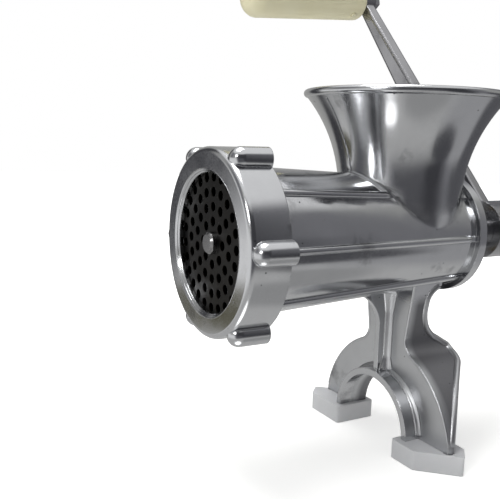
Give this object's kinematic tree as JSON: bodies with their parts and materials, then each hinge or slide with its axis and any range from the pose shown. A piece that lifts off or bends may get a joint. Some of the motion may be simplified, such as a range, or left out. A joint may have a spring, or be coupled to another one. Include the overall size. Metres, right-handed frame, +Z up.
{
  "type": "hand crank meat grinder",
  "caption": "Polished cast meat grinder on an arched stand, with a flared hopper, a lugged ring over a perforated plate, and a crank with a plastic grip.",
  "frame": {"origin": "on the table, midway between the two foot pads", "axes": "+Z up, -X towards the outlet, +Y to the side that the resting crank leans to"},
  "size_m": [0.219, 0.1605, 0.2513],
  "materials": {
    "casting": "polished",
    "ring_casting": "polished",
    "worm_casting": "satin",
    "pad_plastic": "matte",
    "plate_steel": "satin",
    "knife_steel": "satin",
    "bright_steel": "polished",
    "crank_steel": "polished",
    "bush_brass": "satin",
    "washer_plastic": "satin",
    "grip_plastic": "satin"
  },
  "bodies": {
    "stand": {"grinder_body": "casting", "left_foot_pad": "pad_plastic", "right_foot_pad": "pad_plastic", "plate_key_pin": "bright_steel", "thrust_washer": "washer_plastic", "rear_bush": "bush_brass"},
    "crank": {"cross_knife": "knife_steel", "knife_stud": "bright_steel", "feed_worm": "worm_casting", "tail_shaft": "bright_steel", "tail_pin": "bright_steel", "crank_arm": "crank_steel", "grip_spindle": "bright_steel", "grip_washer": "bright_steel", "spindle_nut": "bright_steel"},
    "grip": {"grip": "grip_plastic", "grip_keeper_pin": "grip_plastic"},
    "plate": {"cutting_plate": "plate_steel"},
    "ring": {"ring_nut": "ring_casting"},
    "washer": {"screw_washer": "bright_steel"},
    "screw": {"wing_screw": "bright_steel"}
  },
  "joints": [
    {"name": "crank_turn", "type": "hinge", "parent": "stand", "child": "crank", "pos_m": [0, 0, 0.108], "axis": [1, 0, 0], "continuous": true},
    {"name": "grip_spin", "type": "hinge", "parent": "crank", "child": "grip", "pos_m": [0.04262, 0.09534, 0.24019], "axis": [0.9938, 0.0652, 0.0904], "continuous": true},
    {"name": "plate_slide", "type": "slide", "parent": "stand", "child": "plate", "axis": [-1, 0, 0], "range_m": [0, 0.009]},
    {"name": "ring_turn", "type": "hinge", "parent": "plate", "child": "ring", "pos_m": [-0.1055, 0, 0.108], "axis": [-1, 0, 0], "range_deg": [0, 1080]},
    {"name": "washer_slide", "type": "slide", "parent": "crank", "child": "washer", "axis": [1, 0, 0], "range_m": [0, 0.005]},
    {"name": "screw_turn", "type": "hinge", "parent": "washer", "child": "screw", "pos_m": [0.0905, 0, 0.108], "axis": [1, 0, 0], "range_deg": [0, 1440]}
  ],
  "couplings": [
    {"joint": "plate_slide", "follows": "ring_turn", "m_per_rad": 0.00047746},
    {"joint": "washer_slide", "follows": "screw_turn", "m_per_rad": 0.00019894}
  ]
}
